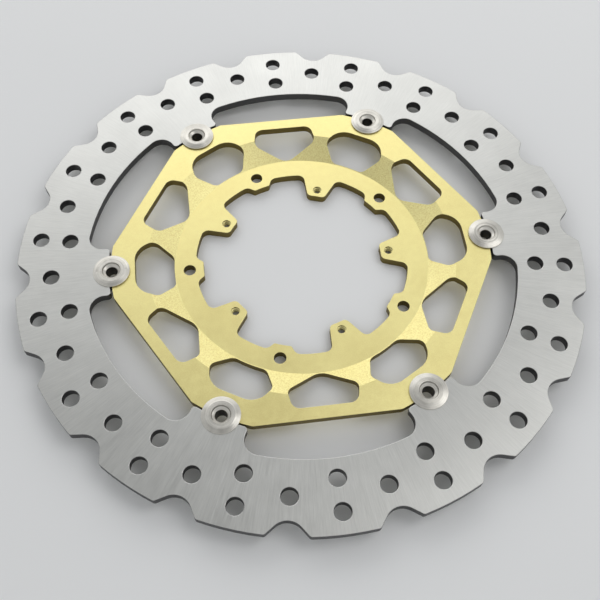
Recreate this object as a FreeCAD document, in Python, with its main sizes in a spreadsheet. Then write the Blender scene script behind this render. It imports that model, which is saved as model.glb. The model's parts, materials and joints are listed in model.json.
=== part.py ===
"""Floating brake disc rotor: a petal-edged friction ring on a dished carrier, joined by six bobbins.

Row frame: +Z is the wheel axis and points outboard, +X passes through the first bobbin and the first
lug, and the origin is the centre of the hub's seat, the face that lies against the wheel.
"""

import FreeCAD, Part
import math
import os

import Sketcher

V = FreeCAD.Vector
UP = V(0, 0, 1)
ORIGIN_POINT = (-1, 1)
SAME_PLACE = 1e-4

DIMENSIONS = [
    # Friction ring
    ("ring_outer_radius", 160.0),
    ("ring_thickness", 5.0),
    ("ring_bottom_height", 6.95),
    ("ring_band_radius", 122.0),
    ("scallop_count", 18),
    ("scallop_floor_radius", 152.4),
    ("scallop_arc_radius", 9.2),
    ("scallop_flank_angle", 45.0),
    ("petal_corner_radius", 2.0),
    ("tab_end_radius", 109.0),
    ("tab_half_width", 15.5),
    ("tab_root_radius", 8.0),
    ("tab_corner_radius", 2.0),
    ("vent_radius", 4.5),
    ("vent_single_circle", 140.7),
    ("vent_inner_circle", 132.4),
    ("vent_outer_circle", 149.0),
    # Carrier
    ("bobbin_count", 6),
    ("bobbin_circle", 107.4),
    ("bobbin_bore_radius", 6.05),
    ("carrier_corner_radius", 107.9),
    ("carrier_flat_distance", 100.8),
    ("carrier_blend_radius", 5.0),
    ("hub_thickness", 5.0),
    ("hub_top_radius", 72.6),
    ("hub_seat_radius", 71.6),
    ("frame_top_height", 11.5),
    ("frame_bottom_height", 7.0),
    ("frame_top_inner_radius", 87.5),
    ("frame_bottom_inner_radius", 87.4),
    # Window beside a bobbin
    ("bobbin_window_outer", 94.45),
    ("bobbin_window_inner_radius", 73.1),
    ("bobbin_window_apex", 82.65),
    ("bobbin_window_apex_half_width", 18.1),
    ("bobbin_window_rim_angle", 20.0),
    ("bobbin_window_flank_angle", 40.0),
    ("bobbin_window_outer_corner", 11.0),
    ("bobbin_window_corner", 5.0),
    # Window between two bobbins
    ("mid_window_outer", 93.95),
    ("mid_window_shoulder", 82.75),
    ("mid_window_half_width", 19.0),
    ("mid_window_side_angle", 10.0),
    ("mid_window_flank_angle", 60.0),
    ("mid_window_tip_radius", 8.5),
    ("mid_window_corner", 5.0),
    # Hub: lugs, pads and holes
    ("lug_count", 5),
    ("hub_bore_radius", 60.9),
    ("lug_tip_radius", 45.9),
    ("lug_tip_half_width", 5.1),
    ("lug_flank_angle", 20.0),
    ("lug_corner_radius", 3.0),
    ("hub_root_radius", 4.0),
    ("pilot_radius", 56.5),
    ("pilot_pad_half_width", 4.9),
    ("pilot_pad_flank_angle", 38.5),
    ("pilot_pad_corner_radius", 1.5),
    ("bolt_circle", 64.5),
    ("bolt_hole_radius", 3.4),
    ("lug_hole_circle", 50.7),
    ("lug_hole_radius", 2.5),
    # Bobbin
    ("head_radius", 10.2),
    ("head_rim_height", 0.5),
    ("head_height", 1.3),
    ("head_land_radius", 7.3),
    ("funnel_radius", 5.15),
    ("funnel_step_radius", 4.75),
    ("funnel_step_depth", 1.0),
    ("funnel_floor_radius", 3.85),
    ("funnel_floor_depth", 1.6),
    ("hole_rim_depth", 2.15),
    ("bobbin_hole_radius", 3.2),
    ("shank_radius", 6.0),
    ("shank_bottom_height", 3.4),
    ("shank_lead_in", 0.35),
    ("groove_radius", 5.7),
    ("groove_bottom_height", 4.0),
    ("groove_width", 1.1),
    # Washers and circlip
    ("washer_inner_radius", 6.1),
    ("washer_outer_radius", 9.0),
    ("wave_top_height", 6.93),
    ("wave_bottom_height", 6.07),
    ("wave_thickness", 0.3),
    ("wave_count", 3),
    ("thrust_washer_bottom_height", 5.05),
    ("thrust_washer_thickness", 1.0),
    ("circlip_bottom_height", 4.05),
    ("circlip_thickness", 1.0),
    ("circlip_inner_radius", 5.75),
    ("circlip_outer_radius", 7.5),
    ("circlip_ear_circle", 7.5),
    ("circlip_ear_radius", 1.6),
    ("circlip_ear_spread", 20.0),
    ("circlip_ear_hole_radius", 0.8),
    ("circlip_gap_half_width", 1.1),
]

doc = FreeCAD.newDocument("BrakeDisc")
sheet = doc.addObject("Spreadsheet::Sheet", "dims")
for row, (alias, number) in enumerate(DIMENSIONS, start=1):
    sheet.set(f"A{row}", alias)
    sheet.set(f"B{row}", str(number))
    sheet.setAlias(f"B{row}", alias)
doc.recompute()


def value(expression):
    """The number that an expression in the sheet's cells gives."""
    return float(sheet.evalExpression(str(expression)))


def bind(thing, path, expression):
    """Binds one property of an object to the sheet."""
    thing.setExpression(path, str(expression))


def constrain(sketch, name, expression, kind, *geometry):
    """Adds one dimension to a sketch and binds it to the sheet."""
    number = value(expression)
    if kind == "Angle":
        number = math.radians(number)
    index = sketch.addConstraint(Sketcher.Constraint(kind, *geometry, number))
    sketch.renameConstraint(index, name)
    bind(sketch, f"Constraints.{name}", expression)


def origin_plane(body, role):
    return next(feature for feature in body.Origin.OriginFeatures if feature.Role == role)


def new_body(label):
    body = doc.addObject("PartDesign::Body", label)
    body.Label = label
    return body


def new_sketch(body, name, plane="XY_Plane", height=None, turn=None):
    """A sketch on one of the body's own planes, raised by height and turned about the axis."""
    sketch = body.newObject("Sketcher::SketchObject", name)
    sketch.AttachmentSupport = [(origin_plane(body, plane), "")]
    sketch.MapMode = "FlatFace"
    if height is not None:
        bind(sketch, "AttachmentOffset.Base.z", height)
    if turn is not None:
        sketch.AttachmentOffset = FreeCAD.Placement(V(), FreeCAD.Rotation(UP, value(turn)))
        bind(sketch, "AttachmentOffset.Rotation.Angle", turn)
    return sketch


# ---------------------------------------------------------------- outlines


def straight(direction, offset, corner=None):
    """A straight edge: its direction of travel, how far to the left of it the axis lies, and the
    radius of the corner that follows it."""
    return {"direction": direction, "offset": offset, "corner": corner}


def concentric(radius, turn, corner=None):
    """An arc about the axis, travelled to the left (turn 1) or to the right (turn -1)."""
    return {"radius": radius, "turn": turn, "corner": corner}


def right_normal(edge):
    angle = math.radians(value(edge["direction"]))
    return V(math.sin(angle), -math.cos(angle), 0)


def shifted(edge, distance):
    """The edge's line or circle as numbers, moved to its left by a distance."""
    if "radius" in edge:
        return {"radius": value(edge["radius"]) - edge["turn"] * distance}
    return {"normal": right_normal(edge), "offset": value(edge["offset"]) - distance}


def meeting_point(first, second):
    """Where two lines, or a line and a circle about the axis, meet; on a circle, the point nearer +X."""
    if "radius" in first:
        first, second = second, first
    n, s = first["normal"], first["offset"]
    if "radius" in second:
        along = V(-n.y, n.x, 0)
        reach = math.sqrt(second["radius"] ** 2 - s**2)
        return max((n * s + along * reach, n * s - along * reach), key=lambda point: point.x)
    m, t = second["normal"], second["offset"]
    area = n.x * m.y - n.y * m.x
    return V((s * m.y - t * n.y) / area, (n.x * t - m.x * s) / area, 0)


def heading(edge, point):
    """The direction of travel of an edge at a point on it."""
    if "radius" in edge:
        return V(-point.y, point.x, 0).normalize() * edge["turn"]
    normal = right_normal(edge)
    return V(-normal.y, normal.x, 0)


def foot(edge, point):
    """The point of an edge nearest to a point."""
    if "radius" in edge:
        return V(point).normalize() * value(edge["radius"])
    normal = right_normal(edge)
    return point - normal * (point.dot(normal) - value(edge["offset"]))


def corner_points(edge, following):
    """Where an edge ends, where the next starts, and the centre and side of the corner between."""
    sharp = meeting_point(shifted(edge, 0), shifted(following, 0))
    if edge["corner"] is None:
        return sharp, sharp, None, 0
    side = 1 if heading(edge, sharp).cross(heading(following, sharp)).z > 0 else -1
    reach = side * value(edge["corner"])
    centre = meeting_point(shifted(edge, reach), shifted(following, reach))
    return foot(edge, centre), foot(following, centre), centre, side


def add_arc(sketch, centre, radius, start, end, turn):
    """Adds an arc and returns it with the names of its travelled start and end points."""
    first, last = (start, end) if turn > 0 else (end, start)
    low = math.atan2(first.y - centre.y, first.x - centre.x)
    high = math.atan2(last.y - centre.y, last.x - centre.x)
    if high < low:
        high += 2 * math.pi
    index = sketch.addGeometry(Part.ArcOfCircle(Part.Circle(centre, UP, radius), low, high))
    return (index, 1, 2) if turn > 0 else (index, 2, 1)


def add_outline(sketch, edges):
    """Draws a closed outline with rounded corners and binds every size of it."""
    corners = [corner_points(edge, edges[(i + 1) % len(edges)]) for i, edge in enumerate(edges)]
    chain = []
    for i, edge in enumerate(edges):
        start, end = corners[i - 1][1], corners[i][0]
        if "radius" in edge:
            radius = value(edge["radius"])
            item = add_arc(sketch, V(), radius, start, end, edge["turn"])
            sketch.addConstraint(Sketcher.Constraint("Coincident", item[0], 3, *ORIGIN_POINT))
            constrain(sketch, f"radius_{i}", edge["radius"], "Radius", item[0])
        else:
            item = (sketch.addGeometry(Part.LineSegment(start, end)), 1, 2)
            distance = edge["offset"] if value(edge["offset"]) > 0 else f"-({edge['offset']})"
            constrain(sketch, f"direction_{i}", edge["direction"], "Angle", item[0])
            constrain(sketch, f"distance_{i}", distance, "Distance", *ORIGIN_POINT, item[0])
        chain.append((item, "Coincident" if edge["corner"] is None else "Tangent"))
        if edge["corner"] is not None:
            _, following, centre, side = corners[i]
            item = add_arc(sketch, centre, value(edge["corner"]), end, following, side)
            constrain(sketch, f"corner_{i}", edge["corner"], "Radius", item[0])
            chain.append((item, "Tangent"))
    for i, (item, joint) in enumerate(chain):
        following = chain[(i + 1) % len(chain)][0]
        sketch.addConstraint(Sketcher.Constraint(joint, item[0], item[2], following[0], following[1]))


def add_circle(sketch, name, radius, distance=None, angle=None):
    """A circle on the axis, or at a distance from it along +X or along a ray at an angle."""
    if distance is None:
        index = sketch.addGeometry(Part.Circle(V(), UP, value(radius)))
        sketch.addConstraint(Sketcher.Constraint("Coincident", index, 3, *ORIGIN_POINT))
    else:
        ray = math.radians(value(angle or 0))
        centre = V(math.cos(ray), math.sin(ray), 0) * value(distance)
        index = sketch.addGeometry(Part.Circle(centre, UP, value(radius)))
        if angle is None:
            sketch.addConstraint(Sketcher.Constraint("PointOnObject", index, 3, -1))
            constrain(sketch, f"{name}_distance", distance, "DistanceX", *ORIGIN_POINT, index, 3)
        else:
            across = f"{distance} * cos({angle})"
            along = f"{distance} * sin({angle})"
            constrain(sketch, f"{name}_across", across, "DistanceX", *ORIGIN_POINT, index, 3)
            constrain(sketch, f"{name}_along", along, "DistanceY", *ORIGIN_POINT, index, 3)
    constrain(sketch, f"{name}_radius", radius, "Radius", index)


def add_profile(sketch, points):
    """A polygon of (radius, height) corners for turning about the sketch's vertical axis."""
    places = [V(value(radius), value(height), 0) for radius, height in points]
    count = len(points)
    lines = [Part.LineSegment(places[i], places[(i + 1) % count]) for i in range(count)]
    first = sketch.addGeometry(lines)[0]
    for i, (radius, height) in enumerate(points):
        before = first + (i - 1) % count
        sketch.addConstraint(Sketcher.Constraint("Coincident", before, 2, first + i, 1))
        constrain(sketch, f"corner_{i}_radius", radius, "DistanceX", *ORIGIN_POINT, first + i, 1)
        constrain(sketch, f"corner_{i}_height", height, "DistanceY", *ORIGIN_POINT, first + i, 1)


# ---------------------------------------------------------------- features


def revolve(body, name, points):
    sketch = new_sketch(body, f"{name}_profile", "XZ_Plane")
    add_profile(sketch, points)
    feature = body.newObject("PartDesign::Revolution", name)
    feature.Profile = sketch
    feature.ReferenceAxis = (sketch, ["V_Axis"])
    feature.Angle = 360
    doc.recompute()
    return feature


def pad(body, name, sketch, thickness):
    feature = body.newObject("PartDesign::Pad", name)
    feature.Profile = sketch
    bind(feature, "Length", thickness)
    doc.recompute()
    return feature


def pocket_through(body, name, sketch):
    """Cuts a sketch through the whole thickness and makes sure that metal came off."""
    before = body.Tip.Shape.Volume
    feature = body.newObject("PartDesign::Pocket", name)
    feature.Profile = sketch
    feature.Type = "ThroughAll"
    feature.Midplane = True
    doc.recompute()
    if feature.Shape.Volume >= before:
        raise RuntimeError(f"{name} cuts nothing")
    return feature


def repeat_around(body, name, feature, count):
    """Repeats a feature around the body's Z axis."""
    pattern = body.newObject("PartDesign::PolarPattern", name)
    pattern.Originals = [feature]
    pattern.Axis = (origin_plane(body, "Z_Axis"), [""])
    pattern.Angle = 360
    bind(pattern, "Occurrences", count)
    body.Tip = pattern
    doc.recompute()
    return pattern


def round_upright_edges(body, name, radius, distance):
    """Fillets the upright edges of the body that stand at a distance from its axis."""
    base = body.Tip
    place = value(distance)
    names = []
    for i, edge in enumerate(base.Shape.Edges, start=1):
        start, end = edge.Vertexes[0].Point, edge.Vertexes[-1].Point
        upright = math.hypot(start.x - end.x, start.y - end.y) < SAME_PLACE < abs(start.z - end.z)
        if upright and abs(math.hypot(start.x, start.y) - place) < SAME_PLACE:
            names.append(f"Edge{i}")
    feature = body.newObject("PartDesign::Fillet", name)
    feature.Base = (base, names)
    bind(feature, "Radius", radius)
    doc.recompute()
    return feature


# ---------------------------------------------------------------- friction ring


def build_ring():
    """The friction ring: petal rim, vent holes and six tabs with half-bores for the bobbins."""
    body = new_body("brake_ring")
    disc = new_sketch(body, "ring_disc", height="dims.ring_bottom_height")
    add_circle(disc, "rim", "dims.ring_outer_radius")
    add_circle(disc, "tab_ends", "dims.tab_end_radius")
    pad(body, "ring_plate", disc, "dims.ring_thickness")

    # Between two tabs, the ring is cut back to its band.
    gap = new_sketch(body, "tab_gap_outline", turn="180 / dims.bobbin_count")
    half_pitch = "180 / dims.bobbin_count"
    inside = "0.7 * dims.tab_end_radius"
    add_outline(gap, [
        straight(f"-({half_pitch})", "-dims.tab_half_width", "dims.tab_root_radius"),
        concentric("dims.ring_band_radius", 1, "dims.tab_root_radius"),
        straight(f"180 + {half_pitch}", "-dims.tab_half_width"),
        straight("270", f"-{inside}"),
    ])
    gaps = pocket_through(body, "tab_gap", gap)
    repeat_around(body, "tab_gaps", gaps, "dims.bobbin_count")
    round_upright_edges(body, "tab_corners", "dims.tab_corner_radius", "dims.tab_end_radius")

    # The petal rim: scallops with straight flanks.
    scallop = new_sketch(body, "scallop_outline")
    flank = (
        "(dims.scallop_floor_radius + dims.scallop_arc_radius) * sin(dims.scallop_flank_angle)"
        " - dims.scallop_arc_radius"
    )
    add_outline(scallop, [
        straight("180 + dims.scallop_flank_angle", f"-({flank})", "dims.scallop_arc_radius"),
        straight("-dims.scallop_flank_angle", f"-({flank})"),
        straight("90", "1.03 * dims.ring_outer_radius"),
    ])
    scallops = pocket_through(body, "scallop", scallop)
    repeat_around(body, "scallops", scallops, "dims.scallop_count")
    round_upright_edges(body, "petal_corners", "dims.petal_corner_radius", "dims.ring_outer_radius")

    # Vent holes: one in line with each scallop, two in line with each petal.
    vent = new_sketch(body, "vent_outline")
    add_circle(vent, "single", "dims.vent_radius", "dims.vent_single_circle")
    petal_middle = "180 / dims.scallop_count"
    add_circle(vent, "inner", "dims.vent_radius", "dims.vent_inner_circle", petal_middle)
    add_circle(vent, "outer", "dims.vent_radius", "dims.vent_outer_circle", petal_middle)
    vents = pocket_through(body, "vent", vent)
    repeat_around(body, "vents", vents, "dims.scallop_count")

    bore = new_sketch(body, "ring_bore_outline")
    add_circle(bore, "bore", "dims.bobbin_bore_radius", "dims.bobbin_circle")
    bores = pocket_through(body, "ring_bore", bore)
    repeat_around(body, "ring_bores", bores, "dims.bobbin_count")
    return body


# ---------------------------------------------------------------- carrier


def build_carrier():
    """The dished carrier: hub, sloped flank and hexagonal frame with windows, lugs and holes."""
    body = new_body("carrier")
    revolve(body, "carrier_dish", [
        ("dims.lug_tip_radius", "0"),
        ("dims.hub_seat_radius", "0"),
        ("dims.frame_bottom_inner_radius", "dims.frame_bottom_height"),
        ("dims.carrier_corner_radius", "dims.frame_bottom_height"),
        ("dims.carrier_corner_radius", "dims.frame_top_height"),
        ("dims.frame_top_inner_radius", "dims.frame_top_height"),
        ("dims.hub_top_radius", "dims.hub_thickness"),
        ("dims.lug_tip_radius", "dims.hub_thickness"),
    ])
    mid_turn = "180 / dims.bobbin_count"

    # Six flats turn the round plate into a hexagon with a short arc at each bobbin.
    side = new_sketch(body, "flat_outline", turn=mid_turn)
    reach = "0.45 * dims.carrier_corner_radius"
    add_outline(side, [
        straight("270", "-dims.carrier_flat_distance"),
        straight("0", reach),
        straight("90", "1.05 * dims.carrier_corner_radius"),
        straight("180", reach),
    ])
    sides = pocket_through(body, "flat", side)
    repeat_around(body, "flats", sides, "dims.bobbin_count")
    round_upright_edges(
        body, "frame_corners", "dims.carrier_blend_radius", "dims.carrier_corner_radius"
    )

    # The window beside each bobbin.
    x, y = "dims.bobbin_window_apex", "dims.bobbin_window_apex_half_width"
    rim, slant = "dims.bobbin_window_rim_angle", "dims.bobbin_window_flank_angle"
    big, small = "dims.bobbin_window_outer_corner", "dims.bobbin_window_corner"
    rim_offset = f"{x} * sin({rim}) + {y} * cos({rim})"
    slant_offset = f"{y} * cos({slant}) - {x} * sin({slant})"
    window = new_sketch(body, "bobbin_window_outline")
    add_outline(window, [
        concentric("dims.bobbin_window_inner_radius", -1, small),
        straight(f"-{slant}", slant_offset, small),
        straight(rim, rim_offset, big),
        straight("90", "dims.bobbin_window_outer", big),
        straight(f"180 - {rim}", rim_offset, small),
        straight(f"180 + {slant}", slant_offset, small),
    ])
    windows = pocket_through(body, "bobbin_window", window)
    repeat_around(body, "bobbin_windows", windows, "dims.bobbin_count")

    # The five-sided window between two bobbins.
    x, y = "dims.mid_window_shoulder", "dims.mid_window_half_width"
    rim, slant = "dims.mid_window_side_angle", "dims.mid_window_flank_angle"
    small = "dims.mid_window_corner"
    rim_offset = f"{x} * sin({rim}) + {y} * cos({rim})"
    slant_offset = f"{y} * cos({slant}) - {x} * sin({slant})"
    window = new_sketch(body, "mid_window_outline", turn=mid_turn)
    add_outline(window, [
        straight(f"-{slant}", slant_offset, small),
        straight(rim, rim_offset, small),
        straight("90", "dims.mid_window_outer", small),
        straight(f"180 - {rim}", rim_offset, small),
        straight(f"180 + {slant}", slant_offset, "dims.mid_window_tip_radius"),
    ])
    windows = pocket_through(body, "mid_window", window)
    repeat_around(body, "mid_windows", windows, "dims.bobbin_count")

    # Between two lugs, the hub is cut back to its bore, with a pad in the middle. The five pads
    # share the circle that centres the disc on the wheel's hub.
    half_pitch = "180 / dims.lug_count"
    flank = "dims.lug_flank_angle"
    lug_offset = f"dims.lug_tip_radius * sin({flank}) - dims.lug_tip_half_width * cos({flank})"
    slope = "dims.pilot_pad_flank_angle"
    pad_offset = f"dims.pilot_radius * sin({slope}) - dims.pilot_pad_half_width * cos({slope})"
    root, nose = "dims.hub_root_radius", "dims.pilot_pad_corner_radius"
    recess = new_sketch(body, "hub_recess_outline", turn=half_pitch)
    add_outline(recess, [
        straight(f"{flank} - {half_pitch}", lug_offset, root),
        concentric("dims.hub_bore_radius", 1, root),
        straight(f"180 - {slope}", pad_offset, nose),
        concentric("dims.pilot_radius", 1, nose),
        straight(slope, pad_offset, root),
        concentric("dims.hub_bore_radius", 1, root),
        straight(f"180 + {half_pitch} - {flank}", lug_offset),
        straight("270", "-0.6 * dims.lug_tip_radius"),
    ])
    recesses = pocket_through(body, "hub_recess", recess)
    repeat_around(body, "hub_recesses", recesses, "dims.lug_count")
    round_upright_edges(body, "lug_corners", "dims.lug_corner_radius", "dims.lug_tip_radius")

    # Bolt holes in line with the pads, tapped holes in the lugs, and half-bores for the bobbins.
    bolt = new_sketch(body, "bolt_outline", turn=half_pitch)
    add_circle(bolt, "bolt", "dims.bolt_hole_radius", "dims.bolt_circle")
    bolts = pocket_through(body, "bolt_hole", bolt)
    repeat_around(body, "bolt_holes", bolts, "dims.lug_count")
    lug = new_sketch(body, "lug_hole_outline")
    add_circle(lug, "lug_hole", "dims.lug_hole_radius", "dims.lug_hole_circle")
    lugs = pocket_through(body, "lug_hole", lug)
    repeat_around(body, "lug_holes", lugs, "dims.lug_count")
    bore = new_sketch(body, "carrier_bore_outline")
    add_circle(bore, "bore", "dims.bobbin_bore_radius", "dims.bobbin_circle")
    bores = pocket_through(body, "carrier_bore", bore)
    repeat_around(body, "carrier_bores", bores, "dims.bobbin_count")
    return body


# ---------------------------------------------------------------- bobbins and their hardware


def place_on_bobbin_circle(thing, number):
    """Moves a piece built about the Z axis onto the axis of one bobbin, facing outwards."""
    angle = f"360 / dims.bobbin_count * {number - 1}"
    thing.Placement = FreeCAD.Placement(V(), FreeCAD.Rotation(UP, value(angle)))
    bind(thing, "Placement.Rotation.Angle", angle)
    bind(thing, "Placement.Base.x", f"dims.bobbin_circle * cos({angle})")
    bind(thing, "Placement.Base.y", f"dims.bobbin_circle * sin({angle})")


def build_bobbin(number):
    """A turned, hollow bobbin: wide head with a funnel, and a shank with a circlip groove."""
    body = new_body(f"bobbin_{number}")
    seat = "dims.ring_bottom_height + dims.ring_thickness"
    top = f"{seat} + dims.head_height"
    groove_top = "dims.groove_bottom_height + dims.groove_width"
    revolve(body, f"bobbin_{number}_turning", [
        ("dims.bobbin_hole_radius", "dims.shank_bottom_height"),
        ("dims.shank_radius - dims.shank_lead_in", "dims.shank_bottom_height"),
        ("dims.shank_radius", "dims.shank_bottom_height + dims.shank_lead_in"),
        ("dims.shank_radius", "dims.groove_bottom_height"),
        ("dims.groove_radius", "dims.groove_bottom_height"),
        ("dims.groove_radius", groove_top),
        ("dims.shank_radius", groove_top),
        ("dims.shank_radius", seat),
        ("dims.head_radius", seat),
        ("dims.head_radius", f"{seat} + dims.head_rim_height"),
        ("dims.head_land_radius", top),
        ("dims.funnel_radius", top),
        ("dims.funnel_step_radius", f"{top} - dims.funnel_step_depth"),
        ("dims.funnel_floor_radius", f"{top} - dims.funnel_floor_depth"),
        ("dims.bobbin_hole_radius", f"{top} - dims.hole_rim_depth"),
    ])
    place_on_bobbin_circle(body, number)
    return body


def build_thrust_washer(number):
    body = new_body(f"thrust_washer_{number}")
    ring = new_sketch(body, f"thrust_washer_{number}_outline", height="dims.thrust_washer_bottom_height")
    add_circle(ring, "inside", "dims.washer_inner_radius")
    add_circle(ring, "outside", "dims.washer_outer_radius")
    pad(body, f"thrust_washer_{number}_plate", ring, "dims.thrust_washer_thickness")
    place_on_bobbin_circle(body, number)
    return body


def build_circlip(number):
    """An external circlip: a split ring with two eared ends, each with a pliers hole."""
    name = f"circlip_{number}"
    body = new_body(name)
    bottom = "dims.circlip_bottom_height"
    hoop = new_sketch(body, f"{name}_hoop_outline", height=bottom)
    add_circle(hoop, "outside", "dims.circlip_outer_radius")
    pad(body, f"{name}_hoop", hoop, "dims.circlip_thickness")
    for side, angle in (("left", "dims.circlip_ear_spread"), ("right", "-dims.circlip_ear_spread")):
        ear = new_sketch(body, f"{name}_{side}_ear_outline", height=bottom)
        add_circle(ear, "ear", "dims.circlip_ear_radius", "dims.circlip_ear_circle", angle)
        pad(body, f"{name}_{side}_ear", ear, "dims.circlip_thickness")
        eye = new_sketch(body, f"{name}_{side}_eye_outline", height=bottom)
        add_circle(eye, "eye", "dims.circlip_ear_hole_radius", "dims.circlip_ear_circle", angle)
        pocket_through(body, f"{name}_{side}_eye", eye)
    throat = new_sketch(body, f"{name}_throat_outline", height=bottom)
    add_circle(throat, "inside", "dims.circlip_inner_radius")
    pocket_through(body, f"{name}_throat", throat)
    split = new_sketch(body, f"{name}_split_outline", height=bottom)
    add_outline(split, [
        straight("0", "dims.circlip_gap_half_width"),
        straight("90", "2 * dims.circlip_outer_radius"),
        straight("180", "dims.circlip_gap_half_width"),
        straight("270", "-0.5 * dims.circlip_inner_radius"),
    ])
    pocket_through(body, f"{name}_split", split)
    place_on_bobbin_circle(body, number)
    return body


def build_wave_washer(number):
    """A thin washer bent into waves around its axis, as four ruled faces between wavy rims."""
    inner, outer = value("dims.washer_inner_radius"), value("dims.washer_outer_radius")
    low, high = value("dims.wave_bottom_height"), value("dims.wave_top_height")
    thickness, waves = value("dims.wave_thickness"), int(value("dims.wave_count"))
    swing = (high - low - thickness) / 2
    points_per_wave = 12

    def rim(radius, base):
        steps = waves * points_per_wave
        turns = [2 * math.pi * i / steps for i in range(steps)]
        points = [
            V(radius * math.cos(t), radius * math.sin(t), base + swing * (1 + math.cos(waves * t)))
            for t in turns
        ]
        curve = Part.BSplineCurve()
        curve.interpolate(Points=points, PeriodicFlag=True)
        return curve.toShape()

    rims = [rim(inner, low), rim(outer, low), rim(outer, low + thickness), rim(inner, low + thickness)]
    faces = [Part.makeRuledSurface(rims[i], rims[(i + 1) % len(rims)]) for i in range(len(rims))]
    shell = Part.makeShell(faces)
    shell.sewShape()
    solid = Part.makeSolid(shell)
    if solid.Volume < 0:
        solid.reverse()
    washer = doc.addObject("Part::Feature", f"wave_washer_{number}")
    washer.Label = f"wave_washer_{number}"
    washer.Shape = solid
    place_on_bobbin_circle(washer, number)
    return washer


def check_document(pieces):
    """Stops on any failed object and on any piece that isn't one valid solid."""
    doc.recompute()
    for thing in doc.Objects:
        if "Invalid" in thing.State or "Error" in thing.State:
            raise RuntimeError(f"{thing.Name} failed: {thing.State}")
    for piece in pieces:
        shape = piece.Shape
        if shape.isNull() or not shape.isValid() or len(shape.Solids) != 1:
            raise RuntimeError(f"{piece.Label} is not one valid solid")


pieces = [build_carrier(), build_ring()]
for position in range(1, int(value("dims.bobbin_count")) + 1):
    pieces.append(build_bobbin(position))
    pieces.append(build_wave_washer(position))
    pieces.append(build_thrust_washer(position))
    pieces.append(build_circlip(position))
check_document(pieces)

os.makedirs("parts", exist_ok=True)
for piece in pieces:
    piece.Shape.exportStep(f"parts/{piece.Label}.step")
    print(piece.Label, round(piece.Shape.Volume, 1), "cubic mm")
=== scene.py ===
"""Looks for a floating brake disc: a ground steel ring on a gold anodised carrier, joined by six bobbins."""

import json
import math

import bpy
from mathutils import Matrix, Vector


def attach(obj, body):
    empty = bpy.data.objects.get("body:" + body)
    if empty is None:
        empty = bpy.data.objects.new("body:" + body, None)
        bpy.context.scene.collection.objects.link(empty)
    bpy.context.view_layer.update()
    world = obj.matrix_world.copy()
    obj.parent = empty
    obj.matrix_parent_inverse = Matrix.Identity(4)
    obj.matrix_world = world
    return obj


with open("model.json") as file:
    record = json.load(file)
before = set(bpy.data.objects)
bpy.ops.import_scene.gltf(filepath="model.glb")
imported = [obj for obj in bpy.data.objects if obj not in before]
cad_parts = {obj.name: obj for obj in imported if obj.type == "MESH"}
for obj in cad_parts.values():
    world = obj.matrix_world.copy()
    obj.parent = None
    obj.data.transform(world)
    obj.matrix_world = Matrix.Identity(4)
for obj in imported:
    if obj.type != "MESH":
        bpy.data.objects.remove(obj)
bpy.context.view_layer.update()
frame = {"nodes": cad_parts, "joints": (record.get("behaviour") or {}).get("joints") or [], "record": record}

MM = 0.001
NODES = frame["nodes"]
MOUNTS = {mount["name"]: mount for mount in frame["record"]["mounts"]}
JOINTS = {joint["name"]: joint for joint in frame["joints"]}

BOBBIN_COUNT = sum(node.startswith("bobbin_") for node in NODES)
BOBBIN_CIRCLE = JOINTS["bobbin_1_spin"]["pos_m"][0]
BOBBIN_BORE = 3.2 * MM
RING_MIDDLE = 140 * MM

LUG_HOLES = MOUNTS["sensor_ring_holes"]
LUG_COUNT = LUG_HOLES["dims"]["count"]
LUG_HOLE_CIRCLE = LUG_HOLES["dims"]["pcd_mm"] / 2 * MM
LUG_THICKNESS = LUG_HOLES["pos_m"][2]
THREAD_ROOT = LUG_HOLES["dims"]["hole_r_mm"] * MM
THREAD_CREST = 2.07 * MM
THREAD_PITCH = 0.8 * MM


# ---------------------------------------------------------------- material helpers


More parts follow.
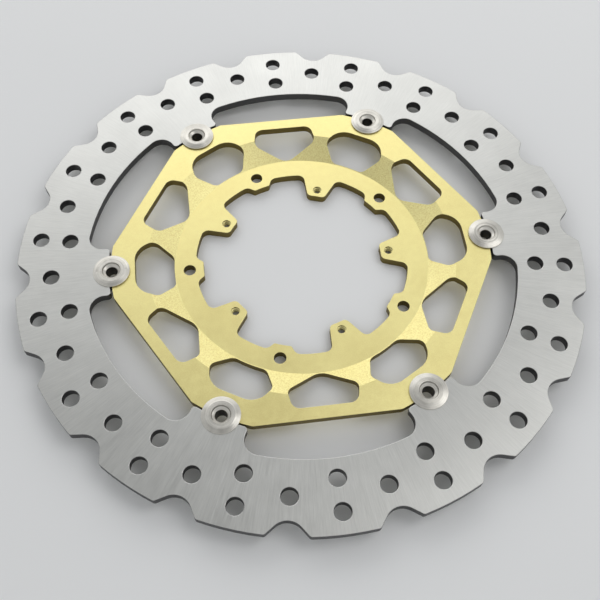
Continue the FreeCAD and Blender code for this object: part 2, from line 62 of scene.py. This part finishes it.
class Finish:
    """A procedural material in the making: one Principled shader and the nodes that feed it."""

    def __init__(self, name):
        self.material = bpy.data.materials.new(name)
        self.material.use_nodes = True
        self.nodes = self.material.node_tree.nodes
        self.links = self.material.node_tree.links
        self.nodes.clear()
        output = self.nodes.new("ShaderNodeOutputMaterial")
        self.shader = self.nodes.new("ShaderNodeBsdfPrincipled")
        self.links.new(self.shader.outputs["BSDF"], output.inputs["Surface"])

    def feed(self, socket, source):
        """Links a socket to another node's output, or sets it to a number or colour."""
        if isinstance(source, bpy.types.NodeSocket):
            self.links.new(source, socket)
        else:
            socket.default_value = source

    def set(self, **sources):
        """Feeds the shader's own sockets; an underscore in a name stands for a space."""
        for name, source in sources.items():
            self.feed(self.shader.inputs[name.replace("_", " ")], source)

    def math(self, operation, *terms):
        node = self.nodes.new("ShaderNodeMath")
        node.operation = operation
        for socket, term in zip(node.inputs, terms):
            self.feed(socket, term)
        return node.outputs[0]

    def vector(self, x, y, z):
        node = self.nodes.new("ShaderNodeCombineXYZ")
        for socket, term in zip(node.inputs, (x, y, z)):
            self.feed(socket, term)
        return node.outputs[0]

    def place(self):
        """The point of the surface in the row frame, in metres, as X, Y and Z."""
        where = self.nodes.new("ShaderNodeTexCoord").outputs["Object"]
        split = self.nodes.new("ShaderNodeSeparateXYZ")
        self.links.new(where, split.inputs[0])
        return split.outputs[0], split.outputs[1], split.outputs[2]

    def noise(self, where, size, detail=2.0, roughness=0.5):
        """Noise from 0 to 1 with blotches of about a size in metres."""
        node = self.nodes.new("ShaderNodeTexNoise")
        self.feed(node.inputs["Vector"], where)
        node.inputs["Scale"].default_value = 1 / size
        node.inputs["Detail"].default_value = detail
        node.inputs["Roughness"].default_value = roughness
        return node.outputs["Fac"]

    def remap(self, source, low, high, to_low, to_high):
        """Takes low..high to to_low..to_high and holds the ends."""
        node = self.nodes.new("ShaderNodeMapRange")
        names = ("Value", "From Min", "From Max", "To Min", "To Max")
        for name, term in zip(names, (source, low, high, to_low, to_high)):
            self.feed(node.inputs[name], term)
        return node.outputs["Result"]

    def tint(self, share, first, second):
        """A colour that goes from the first to the second as share goes from 0 to 1."""
        node = self.nodes.new("ShaderNodeMix")
        node.data_type = "RGBA"
        self.feed(node.inputs["Factor"], share)
        colours = [socket for socket in node.inputs if socket.type == "RGBA"]
        for socket, colour in zip(colours, (first, second)):
            self.feed(socket, colour if isinstance(colour, bpy.types.NodeSocket) else (*colour, 1))
        return next(socket for socket in node.outputs if socket.type == "RGBA")

    def bump(self, height, depth):
        """Raises the surface by height, which is from 0 to 1, times a depth in metres."""
        node = self.nodes.new("ShaderNodeBump")
        node.inputs["Strength"].default_value = 1
        node.inputs["Distance"].default_value = depth
        self.feed(node.inputs["Height"], height)
        return node.outputs["Normal"]

    def steepness(self, level, steep):
        """From 0 on faces as level as one Z of the normal to 1 on faces as steep as another."""
        normal = self.nodes.new("ShaderNodeTexCoord").outputs["Normal"]
        split = self.nodes.new("ShaderNodeSeparateXYZ")
        self.links.new(normal, split.inputs[0])
        return self.remap(self.math("ABSOLUTE", split.outputs[2]), steep, level, 1.0, 0.0)

    def blend(self, *weighted):
        """The sum of (weight, source) pairs."""
        total = 0.0
        for weight, source in weighted:
            total = self.math("ADD", self.math("MULTIPLY", source, weight), total)
        return total

    def length(self, x, y):
        return self.math("SQRT", self.math("ADD", self.math("MULTIPLY", x, x), self.math("MULTIPLY", y, y)))


# ---------------------------------------------------------------- materials


def ring_steel():
    """Stainless steel with fine radial grinding lines on both faces, and painted shade on its steep walls.
    """
    finish = Finish("ring_steel")
    x, y, z = finish.place()
    radius = finish.length(x, y)
    around_x = finish.math("MULTIPLY", finish.math("DIVIDE", x, radius), RING_MIDDLE)
    around_y = finish.math("MULTIPLY", finish.math("DIVIDE", y, radius), RING_MIDDLE)

    def lines(width, length):
        """Streaks across the ring, of a width and a length."""
        along = finish.math("MULTIPLY", finish.math("ADD", radius, z), width / length)
        return finish.noise(finish.vector(around_x, around_y, along), width, 3.0, 0.6)

    fine = lines(0.3 * MM, 8 * MM)
    broad = lines(0.9 * MM, 22 * MM)
    clouds = finish.noise(finish.vector(x, y, z), 30 * MM, 3.0, 0.55)
    # Mask of the steep walls, where shade is painted into the colour and the roughness is a little higher.
    wall_shade_mask = finish.steepness(0.98, 0.55)
    ground = finish.blend((0.65, fine), (0.35, broad))
    shade = finish.blend((0.7, ground), (0.3, clouds))
    # The last colour is painted shade for the steep walls.
    dark, light, wall_shade = (0.57, 0.568, 0.542), (0.70, 0.697, 0.665), (0.10, 0.10, 0.102)
    face = finish.tint(finish.remap(shade, 0.36, 0.64, 0.0, 1.0), dark, light)
    finish.set(
        Base_Color=finish.tint(wall_shade_mask, face, wall_shade),
        Metallic=1.0,
        Roughness=finish.blend((1.0, finish.remap(ground, 0.35, 0.65, 0.33, 0.43)), (0.1, wall_shade_mask)),
        Anisotropic=0.45,
        Normal=finish.bump(ground, 0.02 * MM),
    )
    return finish.material


def carrier_gold():
    """Aluminium anodised pale gold, with a coarser grain on its sloped faces and painted shade on its steep
    walls.
    """
    finish = Finish("carrier_gold")
    x, y, z = finish.place()
    where = finish.vector(x, y, z)
    grain = finish.noise(where, 0.45 * MM, 2.0, 0.6)
    coarse = finish.noise(where, 0.9 * MM, 2.0, 0.7)
    mottle = finish.noise(where, 4 * MM, 3.0, 0.55)
    clouds = finish.noise(where, 40 * MM, 2.0, 0.5)
    # Mask of the steep walls, where shade is painted into the colour.
    wall_shade_mask = finish.steepness(0.9, 0.45)
    slope = finish.steepness(0.985, 0.955)
    even = finish.blend((0.45, grain), (0.25, mottle), (0.3, clouds))
    rough = finish.blend((0.35, grain), (0.65, coarse))
    level_dark, level_light = (0.91, 0.79, 0.34), (1.0, 0.90, 0.415)
    slope_dark, slope_light = (0.80, 0.685, 0.29), (1.0, 0.925, 0.455)
    # Painted shade for the steep walls.
    wall_shade = (0.20, 0.155, 0.05)
    level_face = finish.tint(finish.remap(even, 0.38, 0.62, 0.0, 1.0), level_dark, level_light)
    sloped_face = finish.tint(finish.remap(rough, 0.34, 0.66, 0.0, 1.0), slope_dark, slope_light)
    face = finish.tint(slope, level_face, sloped_face)
    height = finish.blend((0.5, grain), (0.5, finish.math("MULTIPLY", coarse, slope)))
    finish.set(
        Base_Color=finish.tint(wall_shade_mask, face, wall_shade),
        Metallic=1.0,
        Roughness=finish.blend((1.0, finish.remap(even, 0.35, 0.65, 0.36, 0.48)), (0.06, slope)),
        Normal=finish.bump(height, 0.05 * MM),
    )
    return finish.material


def about_bobbin(finish):
    """X and Y about the axis of the surface's own bobbin, with +X outwards, the bobbin's number, and Z."""
    x, y, z = finish.place()
    sector = 2 * math.pi / BOBBIN_COUNT
    number = finish.math("ROUND", finish.math("DIVIDE", finish.math("ARCTAN2", y, x), sector))
    turn = finish.math("MULTIPLY", number, sector)
    cosine, sine = finish.math("COSINE", turn), finish.math("SINE", turn)
    out = finish.math("ADD", finish.math("MULTIPLY", x, cosine), finish.math("MULTIPLY", y, sine))
    across = finish.math("SUBTRACT", finish.math("MULTIPLY", y, cosine), finish.math("MULTIPLY", x, sine))
    return finish.math("SUBTRACT", out, BOBBIN_CIRCLE), across, number, z


def bobbin_metal():
    """Metal turned about the bobbin's axis, with rings of tool marks, and painted shade on the wall of the
    bore.
    """
    finish = Finish("bobbin_metal")
    x, y, number, z = about_bobbin(finish)
    noise_step = 3.7
    apart = finish.math("MULTIPLY", number, noise_step)
    from_axis = finish.length(x, y)
    radius = finish.math("ADD", from_axis, apart)
    marks = finish.noise(finish.vector(radius, z, 0.0), 0.28 * MM, 3.0, 0.65)
    bands = finish.noise(finish.vector(radius, z, 0.0), 1.6 * MM, 2.0, 0.5)
    handled = finish.noise(finish.vector(x, y, finish.math("ADD", z, apart)), 3 * MM, 3.0, 0.5)
    shade = finish.blend((0.45, marks), (0.35, bands), (0.2, handled))
    # The last colour is painted shade for the wall of the bore.
    dark, light, bore = (0.54, 0.52, 0.465), (0.86, 0.83, 0.765), (0.12, 0.115, 0.105)
    outer = finish.tint(finish.remap(shade, 0.38, 0.62, 0.0, 1.0), dark, light)
    # Mask of the bore's wall, where shade is painted.
    bore_shade_mask = finish.remap(from_axis, BOBBIN_BORE + 0.15 * MM, BOBBIN_BORE + 0.05 * MM, 0.0, 1.0)
    finish.set(
        Base_Color=finish.tint(bore_shade_mask, outer, bore),
        Metallic=1.0,
        Roughness=finish.remap(shade, 0.35, 0.65, 0.33, 0.43),
        Anisotropic=0.6,
        Anisotropic_Rotation=0.25,
        Normal=finish.bump(marks, 0.05 * MM),
    )
    return finish.material


def sheet_steel(name, dark, light, roughness, metallic, grain_size, grain_depth):
    """Stamped or pressed steel with a tumbled or coated skin."""
    finish = Finish(name)
    x, y, z = finish.place()
    where = finish.vector(x, y, z)
    grain = finish.noise(where, grain_size, 3.0, 0.6)
    stains = finish.noise(where, 3 * MM, 3.0, 0.55)
    shade = finish.blend((0.5, grain), (0.5, stains))
    finish.set(
        Base_Color=finish.tint(finish.remap(shade, 0.36, 0.64, 0.0, 1.0), dark, light),
        Metallic=metallic,
        Roughness=finish.remap(shade, 0.35, 0.65, roughness - 0.08, roughness + 0.08),
        Normal=finish.bump(grain, grain_depth),
    )
    return finish.material


def spring_steel():
    dark, light = (0.30, 0.30, 0.32), (0.47, 0.47, 0.48)
    return sheet_steel("spring_steel", dark, light, 0.34, 1.0, 0.5 * MM, 0.01 * MM)


def washer_steel():
    dark, light = (0.50, 0.50, 0.49), (0.66, 0.66, 0.64)
    return sheet_steel("washer_steel", dark, light, 0.38, 1.0, 0.4 * MM, 0.01 * MM)


def circlip_steel():
    dark, light = (0.035, 0.035, 0.038), (0.085, 0.085, 0.09)
    return sheet_steel("circlip_steel", dark, light, 0.5, 0.6, 0.3 * MM, 0.02 * MM)


def floor_paint():
    finish = Finish("floor_paint")
    x, y, z = finish.place()
    where = finish.vector(x, y, z)
    clouds = finish.noise(where, 250 * MM, 3.0, 0.5)
    grain = finish.noise(where, 2 * MM, 2.0)
    finish.set(
        Base_Color=finish.tint(clouds, (0.82, 0.82, 0.815), (0.86, 0.86, 0.855)),
        Roughness=finish.remap(grain, 0.3, 0.7, 0.6, 0.75),
    )
    return finish.material


# ---------------------------------------------------------------- dressing the CAD nodes


def crisp_edges():
    """A modifier's node group that keeps the level edges between two shallow slopes sharp."""
    steepest_rise = 0.01 * MM
    least_fold = math.radians(9)
    group = bpy.data.node_groups.new("crisp_edges", "GeometryNodeTree")
    for side in ("INPUT", "OUTPUT"):
        group.interface.new_socket("Geometry", in_out=side, socket_type="NodeSocketGeometry")
    nodes, links = group.nodes, group.links

    def calculate(operation, source, second=None):
        node = nodes.new("ShaderNodeMath")
        node.operation = operation
        links.new(source, node.inputs[0])
        if isinstance(second, bpy.types.NodeSocket):
            links.new(second, node.inputs[1])
        elif second is not None:
            node.inputs[1].default_value = second
        return node.outputs[0]

    ends = nodes.new("GeometryNodeInputMeshEdgeVertices")
    run = nodes.new("ShaderNodeVectorMath")
    run.operation = "SUBTRACT"
    links.new(ends.outputs["Position 1"], run.inputs[0])
    links.new(ends.outputs["Position 2"], run.inputs[1])
    split = nodes.new("ShaderNodeSeparateXYZ")
    links.new(run.outputs[0], split.inputs[0])
    level = calculate("LESS_THAN", calculate("ABSOLUTE", split.outputs[2]), steepest_rise)
    angle = nodes.new("GeometryNodeInputMeshEdgeAngle").outputs["Unsigned Angle"]
    folded = calculate("GREATER_THAN", angle, least_fold)

    shade = nodes.new("GeometryNodeSetShadeSmooth")
    shade.domain = "EDGE"
    shade.inputs["Shade Smooth"].default_value = False
    start, end = nodes.new("NodeGroupInput"), nodes.new("NodeGroupOutput")
    links.new(start.outputs[0], shade.inputs["Geometry"])
    links.new(calculate("MULTIPLY", level, folded), shade.inputs["Selection"])
    links.new(shade.outputs[0], end.inputs[0])
    return group


def dress(node, material, edge_break):
    """Gives a CAD node its material and breaks its sharp edges."""
    thing = NODES[node]
    thing.data.materials.clear()
    thing.data.materials.append(material)
    weld = thing.modifiers.new("weld", "WELD")
    weld.merge_threshold = 0.001 * MM
    merge = thing.modifiers.new("merge_flats", "DECIMATE")
    merge.decimate_type = "DISSOLVE"
    merge.angle_limit = math.radians(0.5)
    crisp = thing.modifiers.new("crisp_edges", "NODES")
    crisp.node_group = CRISP
    bevel = thing.modifiers.new("edge_break", "BEVEL")
    bevel.width = edge_break
    bevel.segments = 2
    bevel.limit_method = "ANGLE"
    bevel.angle_limit = math.radians(28)
    bevel.use_clamp_overlap = True
    bevel.miter_outer = "MITER_ARC"
    normals = thing.modifiers.new("weighted_normals", "WEIGHTED_NORMAL")
    normals.keep_sharp = True
    normals.weight = 60


CRISP = crisp_edges()
steel = ring_steel()
gold = carrier_gold()
bright = bobbin_metal()
spring = spring_steel()
stamped = washer_steel()
phosphate = circlip_steel()

dress("brake_ring", steel, edge_break=0.28 * MM)
dress("carrier", gold, edge_break=0.35 * MM)
for number in range(1, BOBBIN_COUNT + 1):
    dress(f"bobbin_{number}", bright, edge_break=0.12 * MM)
    dress(f"wave_washer_{number}", spring, edge_break=0.05 * MM)
    dress(f"thrust_washer_{number}", stamped, edge_break=0.1 * MM)
    dress(f"circlip_{number}", phosphate, edge_break=0.1 * MM)


# ---------------------------------------------------------------- threads of the lug holes


def add_thread(name, x, y):
    """The ridge of a tapped hole: a helix of a flat-topped V that fades into the bore at both ends."""
    steps_per_turn = 40
    base_half, crest_half = 0.35 * MM, 0.1 * MM
    sunk = THREAD_ROOT + 0.05 * MM
    low_end, high_end = base_half, LUG_THICKNESS - base_half
    turns = (high_end - low_end) / THREAD_PITCH
    steps = round(turns * steps_per_turn)
    fade = 0.4 * steps_per_turn
    least_height = 0.2
    points, faces = [], []
    for step in range(steps + 1):
        angle = 2 * math.pi * turns * step / steps
        middle = low_end + (high_end - low_end) * step / steps
        height = min(1, (step + least_height) / fade, (steps - step + least_height) / fade)
        crest = sunk + (THREAD_CREST - sunk) * height
        section = [(sunk, -base_half), (crest, -crest_half), (crest, crest_half), (sunk, base_half)]
        for radius, rise in section:
            points.append((x + radius * math.cos(angle), y + radius * math.sin(angle), middle + rise))
        if step < steps:
            first = 4 * step
            for side in range(4):
                after = (side + 1) % 4
                faces.append((first + after, first + 4 + after, first + 4 + side, first + side))
    last = 4 * steps
    faces += [(3, 2, 1, 0), (last, last + 1, last + 2, last + 3)]
    mesh = bpy.data.meshes.new(name)
    mesh.from_pydata(points, [], faces)
    mesh.shade_smooth()
    mesh.set_sharp_from_angle(angle=math.radians(35))
    mesh.materials.append(gold)
    thread = bpy.data.objects.new(name, mesh)
    bpy.context.scene.collection.objects.link(thread)
    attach(thread, "carrier")


for number in range(LUG_COUNT):
    lug_angle = 2 * math.pi * number / LUG_COUNT
    lug_x, lug_y = LUG_HOLE_CIRCLE * math.cos(lug_angle), LUG_HOLE_CIRCLE * math.sin(lug_angle)
    add_thread(f"lug_thread_{number + 1}", lug_x, lug_y)


# ---------------------------------------------------------------- floor, light and camera


def add_floor():
    """A wide level floor just under the hub's seat."""
    half = 40.0
    height = -0.02 * MM
    mesh = bpy.data.meshes.new("floor")
    corners = [(-half, -half), (half, -half), (half, half), (-half, half)]
    mesh.from_pydata([(x, y, height) for x, y in corners], [], [(0, 1, 2, 3)])
    mesh.materials.append(floor_paint())
    floor = bpy.data.objects.new("floor", mesh)
    bpy.context.scene.collection.objects.link(floor)


def add_soft_light(name, direction, distance, width, height, watts):
    """A rectangular soft light that faces the disc from a direction."""
    lamp = bpy.data.lights.new(name, "AREA")
    lamp.shape = "RECTANGLE"
    lamp.size, lamp.size_y = width, height
    lamp.energy = watts
    thing = bpy.data.objects.new(name, lamp)
    back = Vector(direction).normalized()
    thing.location = back * distance
    thing.rotation_mode = "QUATERNION"
    thing.rotation_quaternion = (-back).to_track_quat("-Z", "Y")
    bpy.context.scene.collection.objects.link(thing)


def add_camera():
    """The camera stands over the near side of the disc and looks down at about sixty degrees."""
    place = (-0.0397, -0.2487, 0.39315)
    forward = Vector((0.0781, 0.4944, -0.8657)).normalized()
    nearly_up = Vector((0.1042, 0.8596, 0.5003))
    right = forward.cross(nearly_up).normalized()
    up = right.cross(forward)
    lens = bpy.data.cameras.new("camera")
    lens.sensor_width = 36
    lens.lens = 48.11
    lens.clip_start = 0.01
    camera = bpy.data.objects.new("camera", lens)
    bpy.context.scene.collection.objects.link(camera)
    turn = Matrix((right, up, -forward)).transposed()
    camera.matrix_world = Matrix.Translation(place) @ turn.to_4x4()
    bpy.context.scene.camera = camera


def set_world():
    """Soft studio light from all round, at less than half strength straight overhead."""
    world = bpy.data.worlds.new("studio")
    world.use_nodes = True
    nodes, links = world.node_tree.nodes, world.node_tree.links
    background = nodes["Background"]
    background.inputs["Color"].default_value = (0.96, 0.98, 1.0, 1)
    split = nodes.new("ShaderNodeSeparateXYZ")
    links.new(nodes.new("ShaderNodeTexCoord").outputs["Generated"], split.inputs[0])
    strength = nodes.new("ShaderNodeMapRange")
    links.new(split.outputs[2], strength.inputs["Value"])
    for name, value in (("From Min", 0.78), ("From Max", 1.0), ("To Min", 0.65), ("To Max", 0.26)):
        strength.inputs[name].default_value = value
    links.new(strength.outputs["Result"], background.inputs["Strength"])
    bpy.context.scene.world = world


add_floor()
add_soft_light("far_softbox", (-0.05, 0.83, 0.56), distance=1.3, width=1.5, height=0.8, watts=3.8)
add_soft_light("side_softbox", (0.53, 0.02, 0.85), distance=1.3, width=0.5, height=0.8, watts=2.3)
add_camera()
set_world()
bpy.context.scene.view_settings.view_transform = "Standard"
